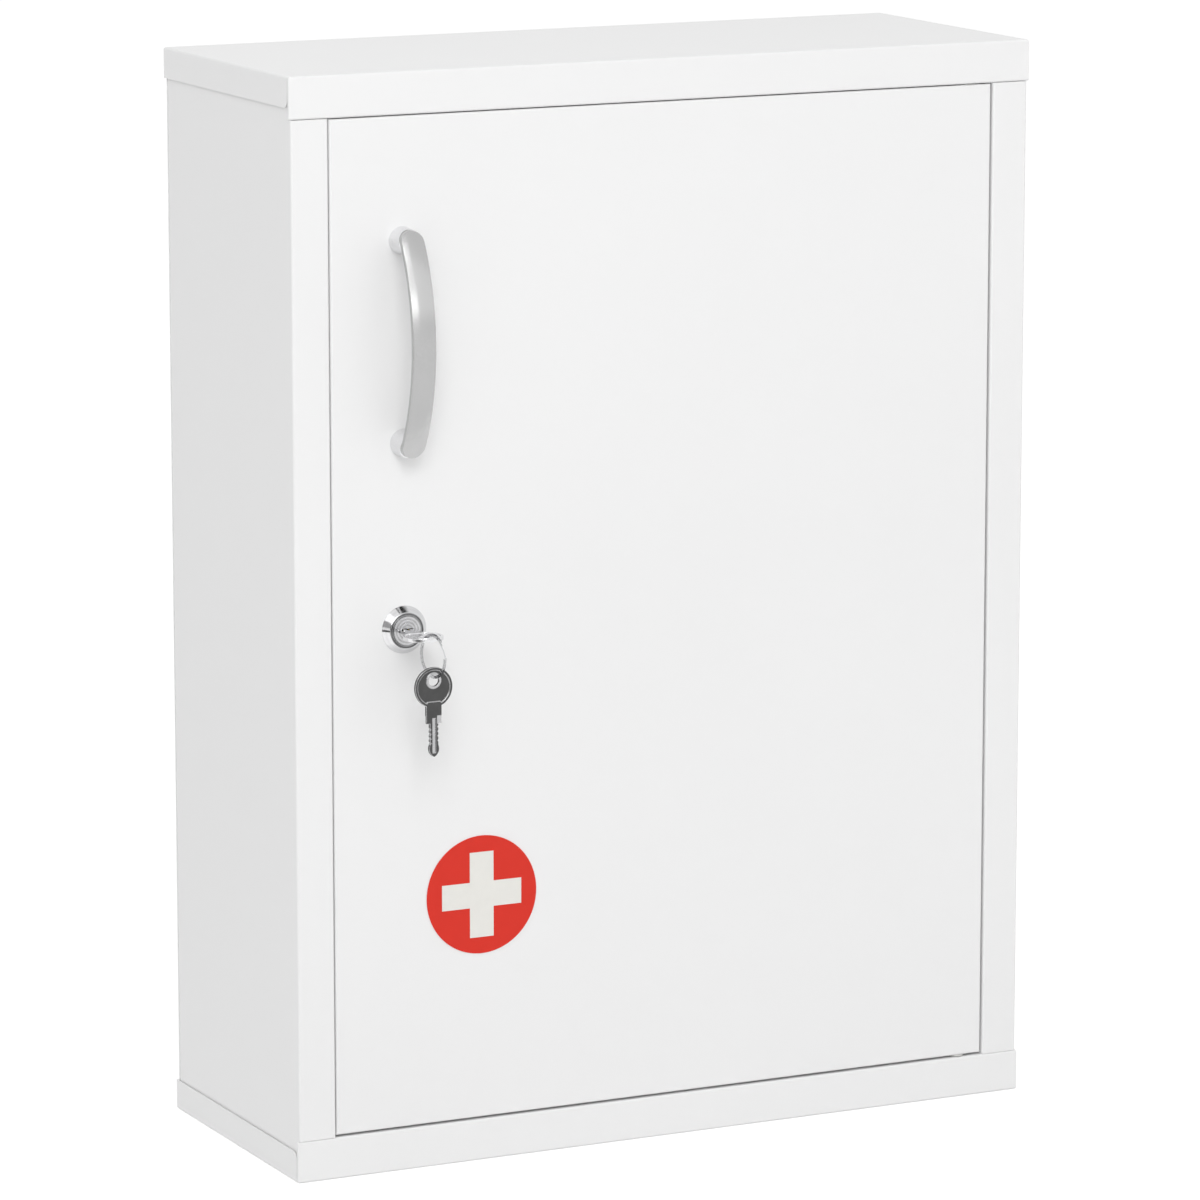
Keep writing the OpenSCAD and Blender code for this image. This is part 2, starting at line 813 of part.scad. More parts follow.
// Key lying flat, the hole of its bow at the origin and its blade along +Y
module key_blank() {
    t = key_thickness;
    pad = shoulder_width / 2 + key_play;
    difference() {
        linear_extrude(height = t, center = true) key_outline();
        for (z = [t / 2 - bow_recess, -t / 2 - cut]) {
            translate([0, 0, z]) linear_extrude(height = cut + bow_recess) difference() {
                translate([0, bow_offset]) circle(r = bow_radius - bow_rim, $fn = 36);
                circle(r = bow_ring, $fn = 24);
                pad_outline(pad);
            }
            translate([-blade_groove / 2, groove_start, z - groove_extra * sign(z)])
                cube([blade_groove, groove_length, cut + bow_recess]);
        }
        for (turn = [0, 180]) {
            rotate([0, turn, 0])
                translate([-shoulder_width / 2 - cut, shoulder_end - step_length, t / 2 - step_depth])
                    cube([cut + step_width, step_length, step_depth + cut]);
        }
    }
}

module key() {
    color("silver") translate([fit_x, key_y, lock_z]) key_blank();
}

module key_ring() {
    color("silver") translate(ring_centre) rotate([0, 0, ring_turn]) rotate([90, 0, 0])
        rotate_extrude($fn = 36) translate([ring_radius, 0]) circle(r = wire_radius, $fn = 12);
}

// Spare key hanging on the lowest point of the ring
module spare_key() {
    color("dimgray") translate(ring_centre - [0, 0, ring_radius + spare_drop])
        rotate([0, 0, ring_turn + spare_turn - 90]) rotate([-90, 0, 0]) key_blank();
}

top_cap();
bottom_cap();
left_side_panel();
right_side_panel();
back_panel();
back_rivets();
shelf_strips();
shelf_clips();
upper_shelf();
lower_shelf();
door_bumpers();
upper_hinge_pin();
lower_hinge_pin();
door_panel();
door_stiffener();
upper_hinge_bush();
lower_hinge_bush();
handle_strap();
handle_feet();
handle_screws();
handle_washers();
sign_disc();
sign_cross();
lock_housing();
lock_nut();
lock_plug();
lock_wafers();
lock_cam();
cam_screw();
key();
key_ring();
spare_key();
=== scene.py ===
"""Looks of the lockable medicine cabinet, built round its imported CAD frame."""
import json
import math

import bmesh
import bpy
from bpy.props import FloatProperty, FloatVectorProperty, IntProperty, PointerProperty
from mathutils import Matrix, Vector


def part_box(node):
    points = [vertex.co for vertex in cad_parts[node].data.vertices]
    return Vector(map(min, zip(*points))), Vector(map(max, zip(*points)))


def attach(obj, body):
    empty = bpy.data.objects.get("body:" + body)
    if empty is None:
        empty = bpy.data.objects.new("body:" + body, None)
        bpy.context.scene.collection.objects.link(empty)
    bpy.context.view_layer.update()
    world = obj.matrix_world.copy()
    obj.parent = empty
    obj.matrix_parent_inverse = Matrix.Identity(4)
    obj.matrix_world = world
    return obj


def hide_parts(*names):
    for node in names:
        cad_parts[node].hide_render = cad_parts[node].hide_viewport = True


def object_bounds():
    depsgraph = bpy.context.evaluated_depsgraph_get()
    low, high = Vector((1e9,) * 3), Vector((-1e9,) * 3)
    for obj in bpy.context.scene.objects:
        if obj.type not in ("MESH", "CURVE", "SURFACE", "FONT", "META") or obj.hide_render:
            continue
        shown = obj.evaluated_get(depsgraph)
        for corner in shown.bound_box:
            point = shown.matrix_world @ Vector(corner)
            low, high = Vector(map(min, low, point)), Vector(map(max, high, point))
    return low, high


bl_info = {
    "name": "Medicine Cabinet",
    "version": (1, 0, 0),
    "blender": (4, 5, 0),
    "location": "View3D > Sidebar > Cabinet",
    "description": "Dresses a folded steel medicine cabinet with its finishes, fittings and stage",
    "category": "Object",
}

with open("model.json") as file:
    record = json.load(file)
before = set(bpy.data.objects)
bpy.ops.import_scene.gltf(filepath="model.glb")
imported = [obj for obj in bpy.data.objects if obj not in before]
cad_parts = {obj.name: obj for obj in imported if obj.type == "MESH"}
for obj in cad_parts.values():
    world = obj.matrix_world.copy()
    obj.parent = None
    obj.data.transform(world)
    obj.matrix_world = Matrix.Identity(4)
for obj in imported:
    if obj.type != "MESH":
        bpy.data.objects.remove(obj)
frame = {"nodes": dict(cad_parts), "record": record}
cad_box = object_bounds()

MM = 0.001
# How close a vertex is to a level or a plane that it belongs to
NEAR = 0.05 * MM
# Most of a noise texture's values lie between these two
NOISE_LOW, NOISE_HIGH = 0.3, 0.7
BLACK = (0.0, 0.0, 0.0, 1.0)
WHITE = (1.0, 1.0, 1.0, 1.0)

BEHAVIOUR = frame["record"]["behaviour"]
BODY_OF = {node: body for body, nodes in BEHAVIOUR["bodies"].items() for node in nodes}
# The joint whose place is the middle of the spare key's hole
SPARE_KEY_SWING = next(joint for joint in BEHAVIOUR["joints"] if joint["name"] == "spare_key_swing")

COATED_SHEETS = ("top_cap", "bottom_cap", "left_side_panel", "right_side_panel", "back_panel",
                 "shelf_strips", "upper_shelf", "lower_shelf", "door_panel", "door_stiffener")

# Cards that only mirror reflections show: name, glow, first corner and two sides
MIRROR_CARDS = (
    ("left_card", 0.0, (-0.95, -0.36, 0.09), (0.0, 0.2, 0.0), (0.0, 0.0, 0.12)),
    ("left_front_card", 0.0, (-0.95, -1.9, 0.02), (0.0, 1.5, 0.0), (0.0, 0.0, 0.54)),
    ("left_floor_card", 0.25, (-0.95, -1.3, 0.02), (0.4, 0.0, 0.0), (0.0, 0.9, 0.0)),
    ("left_bright_card", 1.5, (-0.95, -0.5, 0.75), (0.0, 0.35, 0.0), (0.0, 0.0, 0.9)),
    ("left_grey_card", 0.4, (-0.95, -0.38, 0.33), (0.0, 0.2, 0.0), (0.0, 0.0, 0.36)),
    ("overhead_card", 0.0, (-0.26, -0.3, 1.4), (0.8, 0.0, 0.0), (0.0, 0.35, 0.0)),
    ("camera_card", 0.0, (-1.35, -1.9, 0.0), (0.75, 0.0, 0.0), (0.0, 0.0, 0.8)),
    ("floor_card", 1.08, (-3.0, -8.0, 0.01), (9.0, 0.0, 0.0), (0.0, 7.7, 0.0)),
    ("upper_card", 1.25, (-0.4, -1.5, 0.62), (2.6, 0.0, 0.0), (0.0, 0.0, 1.0)),
    ("bright_card", 4.0, (-1.5, -1.43, 0.57), (1.15, 0.0, 0.0), (0.0, 0.0, 0.75)),
    ("soft_card", 2.4, (-0.4, -1.42, 0.66), (0.42, 0.0, 0.0), (0.0, 0.0, 0.26)),
)


# ---- settings ----

class CabinetSizes(bpy.types.PropertyGroup):
    """Sizes of the edges, the joints between sheets, the strap and the wire ring"""
    sheet_edge: FloatProperty(name="Sheet Edge",
                              description="Rounding that the coating gives cut sheet edges",
                              default=0.12 * MM, unit="LENGTH")
    door_reach: FloatProperty(name="Door Reach",
                              description="How far the door's top and free edge fill their gaps",
                              default=0.65 * MM, unit="LENGTH")
    rail_height: FloatProperty(name="Rail Height",
                               description="Height of the front rail of each cap",
                               default=20.4 * MM, unit="LENGTH")
    stile_reach: FloatProperty(name="Stile Reach",
                               description="How far the stiles' ends fill the joints to the rails",
                               default=0.2 * MM, unit="LENGTH")
    skirt_thinning: FloatProperty(name="Skirt Thinning",
                                  description="How much the side skirts thin behind their edges",
                                  default=0.45 * MM, unit="LENGTH")
    strap_crown: FloatProperty(name="Strap Crown",
                               description="How far the strap's face falls back at its edges",
                               default=0.9 * MM, unit="LENGTH")
    strap_front: FloatProperty(name="Strap Front",
                               description="Rounding of the strap's front edges",
                               default=1.6 * MM, unit="LENGTH")
    strap_back: FloatProperty(name="Strap Back", description="Rounding of the strap's rear edges",
                              default=0.6 * MM, unit="LENGTH")
    foot_edge: FloatProperty(name="Foot Edge", description="Rounding of the handle feet",
                             default=0.4 * MM, unit="LENGTH")
    lock_edge: FloatProperty(name="Lock Edge",
                             description="Rounding of the turned edges of the lock",
                             default=0.25 * MM, unit="LENGTH")
    key_edge: FloatProperty(name="Key Edge",
                            description="Rounding of the stamped edges of the keys",
                            default=0.19 * MM, unit="LENGTH")
    hardware_edge: FloatProperty(name="Hardware Edge",
                                 description="Rounding of nuts, clips, pins and rivets",
                                 default=0.15 * MM, unit="LENGTH")
    ring_wire: FloatProperty(name="Ring Wire",
                             description="Half the width of the flat wire of the split ring",
                             default=0.39 * MM, unit="LENGTH")
    ring_band: FloatProperty(name="Ring Band",
                             description="Half the depth of the flat wire of the split ring",
                             default=0.68 * MM, unit="LENGTH")


class CabinetFinish(bpy.types.PropertyGroup):
    """Colours and surfaces"""
    coat: FloatVectorProperty(name="Powder Coat", description="White of the powder coat",
                              subtype="COLOR", default=(0.853, 0.853, 0.853))
    coat_rough: FloatProperty(name="Coat Roughness", description="Roughness of the powder coat",
                              default=0.42)
    satin: FloatVectorProperty(name="Satin Metal", description="Satin plating of the handle strap",
                               subtype="COLOR", default=(0.48, 0.48, 0.48))
    chrome: FloatVectorProperty(name="Chrome",
                                description="Bright plating of the lock, feet, key and ring",
                                subtype="COLOR", default=(0.78, 0.78, 0.79))
    zinc: FloatVectorProperty(name="Zinc", description="Zinc plating of the hidden hardware",
                              subtype="COLOR", default=(0.50, 0.52, 0.55))
    brass: FloatVectorProperty(name="Brass", description="Bare brass of the lock's wafers",
                               subtype="COLOR", default=(0.62, 0.43, 0.16))
    # Painted reflection: the spare key's field is plated near black to stand in for the dark
    # surroundings that its face reflects
    key_painted_dark: FloatVectorProperty(name="Key Field", description="Dull field of the spare key",
                                  subtype="COLOR", default=(0.085, 0.085, 0.085))
    sign_red: FloatVectorProperty(name="Sign Red", description="Red of the round sign",
                                  subtype="COLOR", default=(0.69, 0.023, 0.009))
    sign_white: FloatVectorProperty(name="Sign White", description="Off-white of the cross",
                                    subtype="COLOR", default=(0.80, 0.79, 0.75))
    nylon: FloatVectorProperty(name="Nylon", description="Pale grey nylon of the hinge bushes",
                               subtype="COLOR", default=(0.60, 0.60, 0.58))
    rubber: FloatVectorProperty(name="Rubber", description="Black rubber of the door bumpers",
                                subtype="COLOR", default=(0.02, 0.02, 0.02))


class CabinetStage(bpy.types.PropertyGroup):
    """Camera and light"""
    camera_place: FloatVectorProperty(name="Camera Place", description="Where the camera stands",
                                      subtype="TRANSLATION", unit="LENGTH",
                                      default=(-1.3570, -2.7724, 0.8421))
    camera_yaw: FloatProperty(name="Camera Yaw",
                              description="Turn of the view to the right of straight on",
                              subtype="ANGLE", default=0.45536)
    camera_pitch: FloatProperty(name="Camera Pitch",
                                description="Tilt of the view, down is negative",
                                subtype="ANGLE", default=-0.18812)
    focal_pixels: FloatProperty(name="Focal Length in Pixels",
                                description="Focal length in pixels of the photograph",
                                default=6360.8)
    photo_pixels: IntProperty(name="Photo Width", description="Width of the photograph in pixels",
                              default=1200)
    key_power: FloatProperty(name="Front Light", description="Power of the large front light",
                             unit="POWER", default=40.2)
    ambient: FloatProperty(name="Ambient", description="Strength of the even light of the room",
                           default=0.735)
    floor_glow: FloatProperty(name="Floor Glow",
                              description="White that the floor shows the camera by itself",
                              default=0.45)


# ---- mesh helpers ----

def mesh_of(name, bm, *materials):
    """Mesh with its materials, made of a bmesh that isn't needed any more."""
    mesh = bpy.data.meshes.new(name)
    bm.to_mesh(mesh)
    bm.free()
    for material in materials:
        mesh.materials.append(material)
    return mesh


def linked(name, mesh, node):
    """Object for a finished mesh that stands for a CAD node and rides on its body."""
    piece = bpy.data.objects.new(name, mesh)
    bpy.context.scene.collection.objects.link(piece)
    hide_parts(node)
    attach(piece, BODY_OF[node])
    return piece


def mark_sharp(bm, limit=math.radians(50)):
    """Smooth shading everywhere except across sharp edges."""
    for face in bm.faces:
        face.smooth = True
    for edge in bm.edges:
        edge.smooth = len(edge.link_faces) == 2 and edge.calc_face_angle(0.0) < limit


def flat_faces_lead(piece):
    """Normals follow the large flat faces, so that rounded edges don't shade across them."""
    weighted = piece.modifiers.new("weighted_normals", "WEIGHTED_NORMAL")
    weighted.weight = 100
    weighted.keep_sharp = True


def merged_copy(node):
    """Copy of a CAD node's mesh with its triangles merged into whole faces."""
    bm = bmesh.new()
    bm.from_mesh(frame["nodes"][node].data)
    bmesh.ops.remove_doubles(bm, verts=bm.verts, dist=0.002 * MM)
    bmesh.ops.dissolve_limit(bm, angle_limit=math.radians(0.6), verts=bm.verts, edges=bm.edges)
    return bm


def sharp_edges(bm, limit=math.radians(32)):
    """Edges where two faces meet at more than a shallow angle."""
    return [edge for edge in bm.edges
            if len(edge.link_faces) == 2 and edge.calc_face_angle(0.0) > limit]


def soften(bm, edges, width, segments):
    """Round the edges, and give back the narrow faces that this makes."""
    made = bmesh.ops.bevel(bm, geom=edges, offset=width, offset_type="OFFSET",
                           segments=segments, profile=0.5, affect="EDGES",
                           clamp_overlap=True, material=-1)
    return made["faces"]


def finished(node, bm, *materials):
    """Piece made of an edited copy of a CAD node, which it replaces."""
    mark_sharp(bm)
    name = node + "_finished"
    piece = linked(name, mesh_of(name, bm, *materials), node)
    flat_faces_lead(piece)
    return piece


def rounded(node, width, material, segments=2):
    """The CAD node again, with its sharp edges rounded and its curves smooth."""
    bm = merged_copy(node)
    soften(bm, sharp_edges(bm), width, segments)
    return finished(node, bm, material)


def close_door_gaps(bm, reach):
    """The door's top and free edge reach into gaps that the photo shows as finer lines.

    Whatever is on the fold moves with it, so the sheet stays as thick as it was.
    """
    fold = 1.25 * MM
    top = max(vert.co.z for vert in bm.verts) - fold
    free = min(vert.co.x for vert in bm.verts) + fold
    for vert in bm.verts:
        if vert.co.z > top:
            vert.co.z += reach
        if vert.co.x < free:
            vert.co.x -= reach


def close_stile_joints(bm, rail, reach):
    """The stiles' ends reach towards the rails, where the photo shows hardly a line."""
    seam = 0.3 * MM
    low = rail + seam
    high = cad_box[1][2] - low
    for vert in bm.verts:
        if abs(vert.co.z - low) < NEAR:
            vert.co.z -= reach
        elif abs(vert.co.z - high) < NEAR:
            vert.co.z += reach


def thin_skirt_edges(bm, thinning):
    """The side skirts thin behind their free edges, which leaves the seam that the photo shows."""
    sheet, fold = 0.8 * MM, 2.05 * MM
    inner = max(vert.co.x for vert in bm.verts) - sheet
    front = min(vert.co.y for vert in bm.verts) + fold - 2 * NEAR
    for vert in bm.verts:
        on_skirt = fold < vert.co.z < cad_box[1][2] - fold and vert.co.y > front
        if on_skirt and abs(abs(vert.co.x) - inner) < NEAR:
            vert.co.x += math.copysign(thinning, vert.co.x)


def raise_bush_flange(bm, reach):
    """The upper bush's flange rests on the raised top edge of the door."""
    flange = 0.9 * MM
    seat = max(vert.co.z for vert in bm.verts) - flange
    for vert in bm.verts:
        if abs(vert.co.z - seat) < NEAR:
            vert.co.z += reach


def plug_axis():
    """X and Z of the line that the lock's plug turns on."""
    low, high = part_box("lock_plug")
    return (low[0] + high[0]) / 2, (low[2] + high[2]) / 2


def shade_turned_groove(bm):
    """Faces of the housing round the plug, inside its bezel, take the second material, a darker
    chrome that paints the shade in the turned groove.
    """
    radius, depth = 8.4 * MM, 3.0 * MM
    across, up = plug_axis()
    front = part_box("lock_plug")[0][1]
    for face in bm.faces:
        middle = face.calc_center_median()
        away = math.hypot(middle.x - across, middle.z - up)
        if away < radius and middle.y < front + depth:
            face.material_index = 1


def paint_groove_highlights(bm, hole):
    """Milled floors of a flat key and the land round its hole take the second material, a lighter
    plating that paints highlights on them.
    """
    milled_depth, land, parallel = 0.45 * MM, 6.0 * MM, 0.9
    widest = max(bm.faces, key=lambda face: face.calc_area())
    normal = widest.normal.copy()
    levels = [vert.co.dot(normal) for vert in bm.verts]
    middle = (max(levels) + min(levels)) / 2
    half = (max(levels) - min(levels)) / 2
    for face in bm.faces:
        level = abs(face.calc_center_median().dot(normal) - middle)
        milled = level < half - milled_depth
        round_hole = all((vert.co - hole).length < land for vert in face.verts)
        if abs(face.normal.dot(normal)) > parallel and (milled or round_hole):
            face.material_index = 1


# ---- node helpers ----

def new_group(name, inputs, outputs):
    """Shader group with float inputs, given with their defaults, and float outputs."""
    group = bpy.data.node_groups.new(name, "ShaderNodeTree")
    for label, value in inputs:
        socket = group.interface.new_socket(name=label, in_out="INPUT",
                                            socket_type="NodeSocketFloat")
        socket.default_value = value
    for label in outputs:
        group.interface.new_socket(name=label, in_out="OUTPUT", socket_type="NodeSocketFloat")
    return group, group.nodes.new("NodeGroupInput"), group.nodes.new("NodeGroupOutput")


def object_coords(tree):
    return tree.nodes.new("ShaderNodeTexCoord").outputs["Object"]


def noise(tree, vector, scale, detail, rough=0.5):
    """Noise texture whose scale is a number or a socket."""
    node = tree.nodes.new("ShaderNodeTexNoise")
    node.inputs["Detail"].default_value = detail
    node.inputs["Roughness"].default_value = rough
    if isinstance(scale, (int, float)):
        node.inputs["Scale"].default_value = scale
    else:
        tree.links.new(scale, node.inputs["Scale"])
    tree.links.new(vector, node.inputs["Vector"])
    return node.outputs["Fac"]


def math_node(tree, operation, *values):
    """Math node whose inputs are numbers or sockets."""
    node = tree.nodes.new("ShaderNodeMath")
    node.operation = operation
    for socket, value in zip(node.inputs, values):
        if isinstance(value, (int, float)):
            socket.default_value = value
        else:
            tree.links.new(value, socket)
    return node.outputs[0]


def spread(tree, value, to_low, to_high):
    """Values of a noise texture, spread from one number to another."""
    node = tree.nodes.new("ShaderNodeMapRange")
    tree.links.new(value, node.inputs["Value"])
    for label, number in (("From Min", NOISE_LOW), ("From Max", NOISE_HIGH),
                          ("To Min", to_low), ("To Max", to_high)):
        node.inputs[label].default_value = number
    return node.outputs[0]


def seen_directly(tree):
    """1 for what the camera or a mirror looks at, and 0 for light that bounces."""
    path = tree.nodes.new("ShaderNodeLightPath")
    return math_node(tree, "MAXIMUM", path.outputs["Is Camera Ray"],
                     path.outputs["Is Glossy Ray"])


def scaled(colour, factor):
    return tuple(channel * factor for channel in colour)


def toned(tree, bsdf, mask, colour, tint):
    """Base colour that a mask takes from a little darker to a little lighter."""
    node = tree.nodes.new("ShaderNodeMix")
    node.data_type = "RGBA"
    tree.links.new(mask, node.inputs["Factor"])
    node.inputs["A"].default_value = (*scaled(colour, 1.0 - tint), 1.0)
    node.inputs["B"].default_value = (*scaled(colour, 1.0 + tint), 1.0)
    tree.links.new(node.outputs["Result"], bsdf.inputs["Base Color"])


def orange_peel_group():
    """Fine dimpled skin of sprayed powder: height, and a slow drift over the sheet."""
    group, source, sink = new_group("powder_skin", (("Grain", 620.0), ("Drift", 5.0)),
                                    ("Height", "Drift"))
    where = object_coords(group)
    fine = noise(group, where, source.outputs["Grain"], detail=2.0)
    slow = noise(group, where, source.outputs["Drift"], detail=2.0)
    group.links.new(fine, sink.inputs["Height"])
    group.links.new(slow, sink.inputs["Drift"])
    return group


def brushed_group():
    """Fine scratches drawn out along Z, with patches of heavier rubbing."""
    group, source, sink = new_group("brushed_grain", (("Across", 9000.0), ("Along", 240.0)),
                                    ("Lines", "Patches"))
    where = object_coords(group)
    stretch = group.nodes.new("ShaderNodeVectorMath")
    stretch.operation = "MULTIPLY"
    combine = group.nodes.new("ShaderNodeCombineXYZ")
    for axis, label in zip("XYZ", ("Across", "Across", "Along")):
        group.links.new(source.outputs[label], combine.inputs[axis])
    group.links.new(where, stretch.inputs[0])
    group.links.new(combine.outputs[0], stretch.inputs[1])
    group.links.new(noise(group, stretch.outputs[0], 1.0, detail=3.0), sink.inputs["Lines"])
    group.links.new(noise(group, where, 60.0, detail=2.0), sink.inputs["Patches"])
    return group


def turned_group():
    """Rings left by the lathe about an axis along Y through the lock, and fine wear."""
    group, source, sink = new_group("turned_rings", (("Pitch", 4200.0), ("Wear", 500.0)),
                                    ("Rings", "Wear"))
    across, up = plug_axis()
    centre = group.nodes.new("ShaderNodeVectorMath")
    centre.operation = "SUBTRACT"
    centre.inputs[1].default_value = (across, 0.0, up)
    group.links.new(object_coords(group), centre.inputs[0])
    flat = group.nodes.new("ShaderNodeVectorMath")
    flat.operation = "MULTIPLY"
    flat.inputs[1].default_value = (1.0, 0.0, 1.0)
    group.links.new(centre.outputs[0], flat.inputs[0])
    length = group.nodes.new("ShaderNodeVectorMath")
    length.operation = "LENGTH"
    group.links.new(flat.outputs[0], length.inputs[0])
    rings = math_node(group, "SINE", math_node(group, "MULTIPLY", length.outputs["Value"],
                                               source.outputs["Pitch"]))
    group.links.new(rings, sink.inputs["Rings"])
    wear = noise(group, object_coords(group), source.outputs["Wear"], detail=4.0)
    group.links.new(wear, sink.inputs["Wear"])
    return group


def smudge_group():
    """Cloudy marks of handling, for plated and plastic pieces."""
    group, source, sink = new_group("handling", (("Size", 220.0),), ("Clouds", "Fine"))
    where = object_coords(group)
    clouds = noise(group, where, source.outputs["Size"], detail=4.0, rough=0.6)
    group.links.new(clouds, sink.inputs["Clouds"])
    group.links.new(noise(group, where, 2600.0, detail=2.0), sink.inputs["Fine"])
    return group


GROUP_MAKERS = {"powder_skin": orange_peel_group, "brushed_grain": brushed_group,
                "turned_rings": turned_group, "handling": smudge_group}


def shader(name):
    """New material, its tree and its principled shader."""
    material = bpy.data.materials.new(name)
    material.use_nodes = True
    return material, material.node_tree, material.node_tree.nodes["Principled BSDF"]


def placed(tree, name):
    """A shared group, which is built when a material first needs it."""
    node = tree.nodes.new("ShaderNodeGroup")
    node.node_tree = bpy.data.node_groups.get(name) or GROUP_MAKERS[name]()
    return node


def bumped(tree, bsdf, height, distance, strength):
    """Fine relief of a height over the surface."""
    bump = tree.nodes.new("ShaderNodeBump")
    bump.inputs["Distance"].default_value = distance
    bump.inputs["Strength"].default_value = strength
    tree.links.new(height, bump.inputs["Height"])
    tree.links.new(bump.outputs["Normal"], bsdf.inputs["Normal"])


def coated_material(finish):
    """White semi-gloss powder coat."""
    material, tree, bsdf = shader("powder_coat")
    skin = placed(tree, "powder_skin")
    toned(tree, bsdf, skin.outputs["Drift"], finish.coat, tint=0.015)
    rough = spread(tree, skin.outputs["Drift"], finish.coat_rough - 0.03, finish.coat_rough + 0.03)
    tree.links.new(rough, bsdf.inputs["Roughness"])
    bumped(tree, bsdf, skin.outputs["Height"], distance=0.012 * MM, strength=0.5)
    return material


def brushed_material(name, colour, rough):
    """Satin plated metal with fine drawn scratches."""
    material, tree, bsdf = shader(name)
    grain = placed(tree, "brushed_grain")
    bsdf.inputs["Metallic"].default_value = 1.0
    toned(tree, bsdf, grain.outputs["Patches"], colour, tint=0.04)
    tree.links.new(spread(tree, grain.outputs["Lines"], rough - 0.05, rough + 0.06),
                   bsdf.inputs["Roughness"])
    bumped(tree, bsdf, grain.outputs["Lines"], distance=0.004 * MM, strength=0.35)
    return material


def turned_material(name, colour, rough, shade, depth):
    """Bright plated metal that keeps lathe rings, which shade it lightly."""
    material, tree, bsdf = shader(name)
    marks = placed(tree, "turned_rings")
    bsdf.inputs["Metallic"].default_value = 1.0
    ring_share = 0.35
    tone = math_node(tree, "MULTIPLY_ADD", marks.outputs["Rings"], ring_share,
                     marks.outputs["Wear"])
    toned(tree, bsdf, tone, colour, shade)
    tree.links.new(spread(tree, marks.outputs["Wear"], rough, rough + 0.06),
                   bsdf.inputs["Roughness"])
    bumped(tree, bsdf, marks.outputs["Rings"], depth, strength=0.5)
    return material


def plated_material(name, colour, rough, metal=1.0, tint=0.08):
    """Plated, moulded or stamped surface with handling marks."""
    material, tree, bsdf = shader(name)
    marks = placed(tree, "handling")
    bsdf.inputs["Metallic"].default_value = metal
    toned(tree, bsdf, marks.outputs["Clouds"], colour, tint)
    tree.links.new(spread(tree, marks.outputs["Clouds"], rough - 0.03, rough + 0.07),
                   bsdf.inputs["Roughness"])
    bumped(tree, bsdf, marks.outputs["Fine"], distance=0.005 * MM, strength=0.3)
    return material


# ---- operators ----

class CABINET_OT_coated_sheets(bpy.types.Operator):
    """Finish every folded sheet of the body, the shelves and the door in white powder coat"""
    bl_idname = "cabinet.coated_sheets"
    bl_label = "Coated Sheets"

    def execute(self, context):
        scene = context.scene
        sizes = scene.cabinet_sizes
        material = coated_material(scene.cabinet_finish)
        for node in COATED_SHEETS:
            bm = merged_copy(node)
            if node == "door_panel":
                close_door_gaps(bm, sizes.door_reach)
            elif node.endswith("_cap"):
                thin_skirt_edges(bm, sizes.skirt_thinning)
            elif node.endswith("_side_panel"):
                close_stile_joints(bm, sizes.rail_height, sizes.stile_reach)
            soften(bm, sharp_edges(bm), sizes.sheet_edge, segments=2)
            finished(node, bm, material)
        return {"FINISHED"}


class CABINET_OT_handle(bpy.types.Operator):
    """Finish the bowed handle strap, its feet, screws and washers"""
    bl_idname = "cabinet.handle"
    bl_label = "Handle"

    def execute(self, context):
        scene = context.scene
        sizes, finish = scene.cabinet_sizes, scene.cabinet_finish
        satin = brushed_material("satin_plating", finish.satin, rough=0.22)
        zinc = plated_material("screw_zinc", finish.zinc, rough=0.35)
        self.strap(sizes, satin)
        bright = brushed_material("foot_plating", finish.chrome, rough=0.25)
        rounded("handle_feet", sizes.foot_edge, bright, segments=3)
        for node in ("handle_screws", "handle_washers"):
            rounded(node, sizes.hardware_edge, zinc)
        return {"FINISHED"}

    def strap(self, sizes, satin):
        """Strap with a crowned face, a wide round on its front edges and a small one behind."""
        facing = 0.7
        bm = merged_copy("handle_strap")
        low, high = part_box("handle_strap")
        middle, half = (low[0] + high[0]) / 2, (high[0] - low[0]) / 2
        # Cuts along the strap, for its face to bend at
        for step in range(-3, 4):
            bmesh.ops.bisect_plane(bm, geom=bm.verts[:] + bm.edges[:] + bm.faces[:], dist=1e-7,
                                   plane_co=(middle + half * step / 5, 0, 0), plane_no=(1, 0, 0))
        for vert in {v for face in bm.faces if face.normal.y < -facing for v in face.verts}:
            vert.co.y += sizes.strap_crown * ((vert.co.x - middle) / half) ** 2
        bm.normal_update()
        front = [edge for edge in sharp_edges(bm)
                 if any(face.normal.y < -facing for face in edge.link_faces)]
        soften(bm, front, sizes.strap_front, segments=6)
        back = [edge for edge in sharp_edges(bm)
                if any(face.normal.y > facing for face in edge.link_faces)]
        soften(bm, back, sizes.strap_back, segments=3)
        return finished("handle_strap", bm, satin)


